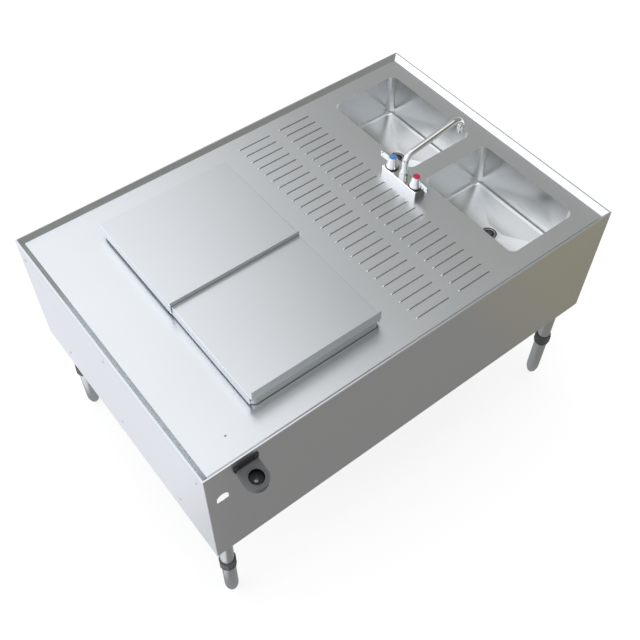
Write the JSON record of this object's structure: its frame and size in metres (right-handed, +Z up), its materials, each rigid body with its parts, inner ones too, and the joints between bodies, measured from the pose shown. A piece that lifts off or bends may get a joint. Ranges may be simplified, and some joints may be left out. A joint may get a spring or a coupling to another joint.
{
  "type": "bar sink with ice bin",
  "caption": "Stainless underbar unit with a lidded ice bin, ribbed drainboard, deep bowls, swing-spout faucet, dispenser holster and bullet feet.",
  "frame": {"origin": "centre of the bounding box's underside, on the floor", "axes": "+X towards the sink end, +Y towards the back, +Z up"},
  "size_m": [1.376, 0.9924, 0.9382],
  "materials": {
    "deck_steel": "fine brushed",
    "panel_steel": "fine brushed",
    "galvanised_steel": "galvanised",
    "bin_steel": "fine brushed",
    "foam": "cut foam",
    "brass": "machined",
    "lid_steel": "fine brushed",
    "black_plastic": "moulded",
    "bowl_steel": "satin",
    "chrome": "polished",
    "rubber": "matt",
    "blue_plastic": "gloss",
    "red_plastic": "gloss",
    "grey_plastic": "moulded",
    "leg_steel": "satin"
  },
  "bodies": {
    "cabinet": {"deck_top": "deck_steel", "front_panel": "panel_steel", "back_panel": "panel_steel", "end_panel_left": "panel_steel", "end_panel_right": "panel_steel", "end_rail_left": "galvanised_steel", "end_rail_right": "galvanised_steel", "leg_rail_left": "galvanised_steel", "leg_rail_right": "galvanised_steel", "deck_stiffeners": "galvanised_steel", "bin_shell": "galvanised_steel", "leg_sockets": "galvanised_steel", "leg_set_screws": "galvanised_steel", "holster_screws": "galvanised_steel", "panel_screws": "galvanised_steel", "bin_liner": "bin_steel", "bin_insulation": "foam", "bin_drain_body": "brass", "bin_drain_nut": "brass", "drain_nuts": "brass", "valve_cold": "brass", "valve_hot": "brass", "shank_nuts": "brass", "drain_grid_front": "black_plastic", "drain_grid_rear": "black_plastic", "holster_plate": "black_plastic", "bowl_front": "bowl_steel", "bowl_rear": "bowl_steel", "drain_body_front": "chrome", "drain_body_rear": "chrome", "tailpiece_front": "chrome", "tailpiece_rear": "chrome", "faucet_pedestal": "chrome", "spout_nut": "chrome", "drain_gaskets": "rubber", "handle_rings": "rubber", "holster_cup": "grey_plastic", "leg_collars": "grey_plastic", "bin_tailpiece": "grey_plastic", "leg_front_left": "leg_steel", "leg_front_right": "leg_steel", "leg_back_left": "leg_steel", "leg_back_right": "leg_steel"},
    "front_lid_body": {"front_lid": "lid_steel", "front_lid_glides": "black_plastic"},
    "rear_lid_body": {"rear_lid": "lid_steel", "rear_lid_glides": "black_plastic"},
    "cold_handle": {"handle_cold": "chrome", "button_cold": "blue_plastic", "stem_cold": "brass"},
    "hot_handle": {"handle_hot": "chrome", "button_hot": "red_plastic", "stem_hot": "brass"},
    "swing_spout": {"spout": "chrome", "aerator": "chrome"},
    "front_left_foot": {"foot_front_left": "leg_steel"},
    "front_right_foot": {"foot_front_right": "leg_steel"},
    "back_left_foot": {"foot_back_left": "leg_steel"},
    "back_right_foot": {"foot_back_right": "leg_steel"}
  },
  "joints": [
    {"name": "front_lid_slide", "type": "slide", "parent": "cabinet", "child": "front_lid_body", "axis": [0, 1, 0], "range_m": [0, 0.16]},
    {"name": "rear_lid_slide", "type": "slide", "parent": "cabinet", "child": "rear_lid_body", "axis": [0, -1, 0], "range_m": [0, 0.16]},
    {"name": "cold_turn", "type": "hinge", "parent": "cabinet", "child": "cold_handle", "pos_m": [0.309, 0.08217, 0.8154], "axis": [0, 0, 1], "range_deg": [0, 90]},
    {"name": "hot_turn", "type": "hinge", "parent": "cabinet", "child": "hot_handle", "pos_m": [0.309, -0.01944, 0.8154], "axis": [0, 0, -1], "range_deg": [0, 90]},
    {"name": "spout_swivel", "type": "hinge", "parent": "cabinet", "child": "swing_spout", "pos_m": [0.309, 0.03136, 0.8129], "axis": [0, 0, 1], "continuous": true},
    {"name": "front_left_foot_height", "type": "slide", "parent": "cabinet", "child": "front_left_foot", "axis": [0, 0, -1], "range_m": [0, 0.025]},
    {"name": "front_right_foot_height", "type": "slide", "parent": "cabinet", "child": "front_right_foot", "axis": [0, 0, -1], "range_m": [0, 0.025]},
    {"name": "back_left_foot_height", "type": "slide", "parent": "cabinet", "child": "back_left_foot", "axis": [0, 0, -1], "range_m": [0, 0.025]},
    {"name": "back_right_foot_height", "type": "slide", "parent": "cabinet", "child": "back_right_foot", "axis": [0, 0, -1], "range_m": [0, 0.025]}
  ]
}
